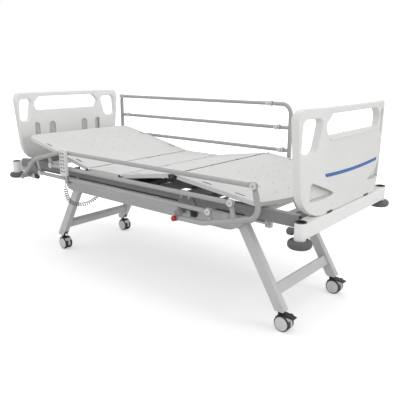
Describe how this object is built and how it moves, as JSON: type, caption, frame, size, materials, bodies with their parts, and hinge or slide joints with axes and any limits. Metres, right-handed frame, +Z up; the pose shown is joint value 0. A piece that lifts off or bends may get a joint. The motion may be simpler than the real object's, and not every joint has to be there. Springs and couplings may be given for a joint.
{
  "type": "electric hospital bed",
  "caption": "Profiling hospital bed on castered swinging legs, with hinged lying surface, lift-off end boards, folding side rails and a corded handset.",
  "frame": {"origin": "on the floor under the middle of the bed", "axes": "+X from the head end to the foot end, +Y to the patient's left, +Z up"},
  "size_m": [2.22, 0.979, 1.032],
  "materials": {
    "frame_paint": "satin grey powder coat",
    "white_paint": "satin white powder coat",
    "leg_paint": "satin light grey powder coat",
    "rail_paint": "satin grey powder coat",
    "panel": "fine matt light grey",
    "dark_paint": "satin dark grey",
    "steel": "zinc plated",
    "board": "fine satin off-white",
    "blue": "satin blue",
    "black_plastic": "matt black",
    "bumper": "matt dark grey",
    "tyre": "matt black",
    "housing": "satin light grey",
    "motor": "satin dark grey",
    "red": "glossy red",
    "handset": "fine satin off-white",
    "keys": "matt grey",
    "cord": "matt grey"
  },
  "bodies": {
    "bed": {"bed_frame": "frame_paint", "leg_channels": "frame_paint", "crossbars": "white_paint", "socket_bushes": "black_plastic", "corner_bumpers": "bumper", "rail_brackets": "frame_paint", "seat_panel": "panel", "hinge_pins": "steel", "actuator_motors": "motor", "control_box": "motor", "handset_holder": "steel", "handset": "handset", "handset_lead": "cord", "handset_coil": "cord", "cord_gland": "black_plastic"},
    "headboard": {"headboard": "board"},
    "footboard": {"footboard": "board", "footboard_stripe": "blue"},
    "back_section": {"back_panel": "panel", "back_frame": "dark_paint"},
    "thigh_section": {"thigh_panel": "panel", "thigh_frame": "dark_paint"},
    "calf_section": {"calf_panel": "panel", "calf_frame": "dark_paint"},
    "foot_legs": {"foot_leg_frame": "leg_paint"},
    "head_legs": {"head_leg_frame": "leg_paint"},
    "foot_carriers": {"foot_caster_carriers": "black_plastic"},
    "head_carriers": {"head_caster_carriers": "black_plastic"},
    "back_rod": {"back_rod": "steel"},
    "knee_rod": {"knee_rod": "steel"},
    "foot_lift_rod": {"foot_lift_rod": "steel"},
    "head_lift_rod": {"head_lift_rod": "steel"},
    "head_right_caster": {"head_right_caster_fork": "housing"},
    "head_right_wheels": {"head_right_wheels": "tyre"},
    "head_left_caster": {"head_left_caster_fork": "housing"},
    "head_left_wheels": {"head_left_wheels": "tyre"},
    "foot_right_caster": {"foot_right_caster_fork": "housing"},
    "foot_right_wheels": {"foot_right_wheels": "tyre"},
    "foot_right_brake_pedal": {"foot_right_brake_pedal": "black_plastic"},
    "foot_left_caster": {"foot_left_caster_fork": "housing"},
    "foot_left_wheels": {"foot_left_wheels": "tyre"},
    "foot_left_brake_pedal": {"foot_left_brake_pedal": "black_plastic"},
    "right_rail_foot_post": {"right_rail_foot_post": "rail_paint"},
    "right_rail_head_post": {"right_rail_head_post": "rail_paint"},
    "right_rail_lock_knob": {"right_rail_lock_knob": "red"},
    "right_rail_top_bar": {"right_rail_top_bar": "rail_paint"},
    "right_rail_middle_bar": {"right_rail_middle_bar": "rail_paint"},
    "right_rail_low_bar": {"right_rail_low_bar": "rail_paint"},
    "left_rail_foot_post": {"left_rail_foot_post": "rail_paint"},
    "left_rail_head_post": {"left_rail_head_post": "rail_paint"},
    "left_rail_lock_knob": {"left_rail_lock_knob": "red"},
    "left_rail_top_bar": {"left_rail_top_bar": "rail_paint"},
    "left_rail_middle_bar": {"left_rail_middle_bar": "rail_paint"},
    "left_rail_low_bar": {"left_rail_low_bar": "rail_paint"},
    "handset_key_1": {"handset_key_1": "keys"},
    "handset_key_2": {"handset_key_2": "keys"},
    "handset_key_3": {"handset_key_3": "keys"},
    "handset_key_4": {"handset_key_4": "keys"},
    "handset_key_5": {"handset_key_5": "keys"},
    "handset_key_6": {"handset_key_6": "keys"}
  },
  "joints": [
    {"name": "back_tilt", "type": "hinge", "parent": "bed", "child": "back_section", "pos_m": [-0.285, 0, 0.634], "axis": [0, 1, 0], "range_deg": [-12, 58]},
    {"name": "knee_lift", "type": "hinge", "parent": "bed", "child": "thigh_section", "pos_m": [-0.01, 0, 0.634], "axis": [0, -1, 0], "range_deg": [-8.3, 26]},
    {"name": "knee_bend", "type": "hinge", "parent": "thigh_section", "child": "calf_section", "pos_m": [0.36404, 0, 0.68857], "axis": [0, 1, 0], "range_deg": [-14, 43.5]},
    {"name": "leg_lift", "type": "hinge", "parent": "bed", "child": "foot_legs", "pos_m": [0.66867, 0, 0.5], "axis": [0, 1, 0], "range_deg": [-35, 15]},
    {"name": "head_leg_lift", "type": "hinge", "parent": "bed", "child": "head_legs", "pos_m": [-0.58467, 0, 0.5], "axis": [0, -1, 0], "range_deg": [-35, 15]},
    {"name": "foot_carrier_level", "type": "hinge", "parent": "foot_legs", "child": "foot_carriers", "pos_m": [0.897, 0, 0.12], "axis": [0, 1, 0], "range_deg": [-15, 35]},
    {"name": "head_carrier_level", "type": "hinge", "parent": "head_legs", "child": "head_carriers", "pos_m": [-0.813, 0, 0.12], "axis": [0, -1, 0], "range_deg": [-15, 35]},
    {"name": "back_rod_travel", "type": "slide", "parent": "bed", "child": "back_rod", "axis": [-1, 0, 0], "range_m": [-0.023, 0.108]},
    {"name": "knee_rod_travel", "type": "slide", "parent": "bed", "child": "knee_rod", "axis": [1, 0, 0], "range_m": [-0.014, 0.042]},
    {"name": "foot_lift_rod_travel", "type": "slide", "parent": "bed", "child": "foot_lift_rod", "axis": [1, 0, 0], "range_m": [-0.027, 0.061]},
    {"name": "head_lift_rod_travel", "type": "slide", "parent": "bed", "child": "head_lift_rod", "axis": [-1, 0, 0], "range_m": [-0.027, 0.061]},
    {"name": "headboard_lift", "type": "slide", "parent": "bed", "child": "headboard", "axis": [0, 0, 1], "range_m": [0, 0.1]},
    {"name": "footboard_lift", "type": "slide", "parent": "bed", "child": "footboard", "axis": [0, 0, 1], "range_m": [0, 0.1]},
    {"name": "head_right_swivel", "type": "hinge", "parent": "head_carriers", "child": "head_right_caster", "pos_m": [-0.813, -0.265, 0.095], "axis": [0, 0, 1], "continuous": true},
    {"name": "head_right_wheel_spin", "type": "hinge", "parent": "head_right_caster", "child": "head_right_wheels", "pos_m": [-0.793, -0.265, 0.04], "axis": [0, 1, 0], "continuous": true},
    {"name": "head_left_swivel", "type": "hinge", "parent": "head_carriers", "child": "head_left_caster", "pos_m": [-0.813, 0.265, 0.095], "axis": [0, 0, 1], "continuous": true},
    {"name": "head_left_wheel_spin", "type": "hinge", "parent": "head_left_caster", "child": "head_left_wheels", "pos_m": [-0.793, 0.265, 0.04], "axis": [0, 1, 0], "continuous": true},
    {"name": "foot_right_swivel", "type": "hinge", "parent": "foot_carriers", "child": "foot_right_caster", "pos_m": [0.897, -0.265, 0.095], "axis": [0, 0, 1], "continuous": true},
    {"name": "foot_right_wheel_spin", "type": "hinge", "parent": "foot_right_caster", "child": "foot_right_wheels", "pos_m": [0.917, -0.265, 0.04], "axis": [0, 1, 0], "continuous": true},
    {"name": "foot_right_brake", "type": "hinge", "parent": "foot_right_caster", "child": "foot_right_brake_pedal", "pos_m": [0.948, -0.265, 0.08], "axis": [0, 1, 0], "range_deg": [-16, 0]},
    {"name": "foot_left_swivel", "type": "hinge", "parent": "foot_carriers", "child": "foot_left_caster", "pos_m": [0.897, 0.265, 0.095], "axis": [0, 0, 1], "continuous": true},
    {"name": "foot_left_wheel_spin", "type": "hinge", "parent": "foot_left_caster", "child": "foot_left_wheels", "pos_m": [0.917, 0.265, 0.04], "axis": [0, 1, 0], "continuous": true},
    {"name": "foot_left_brake", "type": "hinge", "parent": "foot_left_caster", "child": "foot_left_brake_pedal", "pos_m": [0.948, 0.265, 0.08], "axis": [0, 1, 0], "range_deg": [-16, 0]},
    {"name": "right_rail_swing", "type": "hinge", "parent": "bed", "child": "right_rail_foot_post", "pos_m": [0.431, -0.455, 0.523], "axis": [0, 1, 0], "range_deg": [-75.7, 0]},
    {"name": "right_rail_head_swing", "type": "hinge", "parent": "bed", "child": "right_rail_head_post", "pos_m": [-0.909, -0.455, 0.523], "axis": [0, 1, 0], "range_deg": [-75.7, 0]},
    {"name": "right_rail_top_bar_level", "type": "hinge", "parent": "right_rail_foot_post", "child": "right_rail_top_bar", "pos_m": [0.85771, -0.455, 0.71536], "axis": [0, 1, 0], "range_deg": [0, 75.7]},
    {"name": "right_rail_middle_bar_level", "type": "hinge", "parent": "right_rail_foot_post", "child": "right_rail_middle_bar", "pos_m": [0.73977, -0.455, 0.62338], "axis": [0, 1, 0], "range_deg": [0, 75.7]},
    {"name": "right_rail_low_bar_level", "type": "hinge", "parent": "right_rail_foot_post", "child": "right_rail_low_bar", "pos_m": [0.61734, -0.455, 0.56121], "axis": [0, 1, 0], "range_deg": [0, 75.7]},
    {"name": "right_lock_pull", "type": "slide", "parent": "right_rail_foot_post", "child": "right_rail_lock_knob", "axis": [0, -1, 0], "range_m": [0, 0.008], "stiffness_N_per_m": 900, "springref_m": -0.004},
    {"name": "left_rail_swing", "type": "hinge", "parent": "bed", "child": "left_rail_foot_post", "pos_m": [0.431, 0.455, 0.523], "axis": [0, 1, 0], "range_deg": [0, 75.7]},
    {"name": "left_rail_head_swing", "type": "hinge", "parent": "bed", "child": "left_rail_head_post", "pos_m": [-0.909, 0.455, 0.523], "axis": [0, 1, 0], "range_deg": [0, 75.7]},
    {"name": "left_rail_top_bar_level", "type": "hinge", "parent": "left_rail_foot_post", "child": "left_rail_top_bar", "pos_m": [0.35, 0.455, 0.984], "axis": [0, 1, 0], "range_deg": [-75.7, 0]},
    {"name": "left_rail_middle_bar_level", "type": "hinge", "parent": "left_rail_foot_post", "child": "left_rail_middle_bar", "pos_m": [0.41, 0.455, 0.847], "axis": [0, 1, 0], "range_deg": [-75.7, 0]},
    {"name": "left_rail_low_bar_level", "type": "hinge", "parent": "left_rail_foot_post", "child": "left_rail_low_bar", "pos_m": [0.44, 0.455, 0.713], "axis": [0, 1, 0], "range_deg": [-75.7, 0]},
    {"name": "left_lock_pull", "type": "slide", "parent": "left_rail_foot_post", "child": "left_rail_lock_knob", "axis": [0, 1, 0], "range_m": [0, 0.008], "stiffness_N_per_m": 900, "springref_m": -0.004},
    {"name": "handset_key_1_rock", "type": "hinge", "parent": "bed", "child": "handset_key_1", "pos_m": [-0.432, -0.4878, 0.716], "axis": [0, 0, 1], "range_deg": [-3, 3], "stiffness_Nm_per_rad": 0.15},
    {"name": "handset_key_2_rock", "type": "hinge", "parent": "bed", "child": "handset_key_2", "pos_m": [-0.432, -0.4878, 0.6955], "axis": [0, 0, 1], "range_deg": [-3, 3], "stiffness_Nm_per_rad": 0.15},
    {"name": "handset_key_3_rock", "type": "hinge", "parent": "bed", "child": "handset_key_3", "pos_m": [-0.432, -0.4878, 0.675], "axis": [0, 0, 1], "range_deg": [-3, 3], "stiffness_Nm_per_rad": 0.15},
    {"name": "handset_key_4_rock", "type": "hinge", "parent": "bed", "child": "handset_key_4", "pos_m": [-0.432, -0.4878, 0.6545], "axis": [0, 0, 1], "range_deg": [-3, 3], "stiffness_Nm_per_rad": 0.15},
    {"name": "handset_key_5_rock", "type": "hinge", "parent": "bed", "child": "handset_key_5", "pos_m": [-0.432, -0.4878, 0.634], "axis": [0, 0, 1], "range_deg": [-3, 3], "stiffness_Nm_per_rad": 0.15},
    {"name": "handset_key_6_rock", "type": "hinge", "parent": "bed", "child": "handset_key_6", "pos_m": [-0.432, -0.4878, 0.6135], "axis": [0, 0, 1], "range_deg": [-3, 3], "stiffness_Nm_per_rad": 0.15}
  ],
  "couplings": [
    {"joint": "knee_bend", "follows": "knee_lift", "ratio": 1.66},
    {"joint": "head_leg_lift", "follows": "leg_lift", "ratio": 1},
    {"joint": "foot_carrier_level", "follows": "leg_lift", "ratio": -1},
    {"joint": "head_carrier_level", "follows": "leg_lift", "ratio": -1},
    {"joint": "back_rod_travel", "follows": "back_tilt", "m_per_rad": 0.105},
    {"joint": "knee_rod_travel", "follows": "knee_lift", "m_per_rad": 0.0887},
    {"joint": "foot_lift_rod_travel", "follows": "leg_lift", "m_per_rad": -0.0975},
    {"joint": "head_lift_rod_travel", "follows": "leg_lift", "m_per_rad": -0.0975},
    {"joint": "right_rail_head_swing", "follows": "right_rail_swing", "ratio": 1},
    {"joint": "right_rail_top_bar_level", "follows": "right_rail_swing", "ratio": -1},
    {"joint": "right_rail_middle_bar_level", "follows": "right_rail_swing", "ratio": -1},
    {"joint": "right_rail_low_bar_level", "follows": "right_rail_swing", "ratio": -1},
    {"joint": "left_rail_head_swing", "follows": "left_rail_swing", "ratio": 1},
    {"joint": "left_rail_top_bar_level", "follows": "left_rail_swing", "ratio": -1},
    {"joint": "left_rail_middle_bar_level", "follows": "left_rail_swing", "ratio": -1},
    {"joint": "left_rail_low_bar_level", "follows": "left_rail_swing", "ratio": -1}
  ]
}
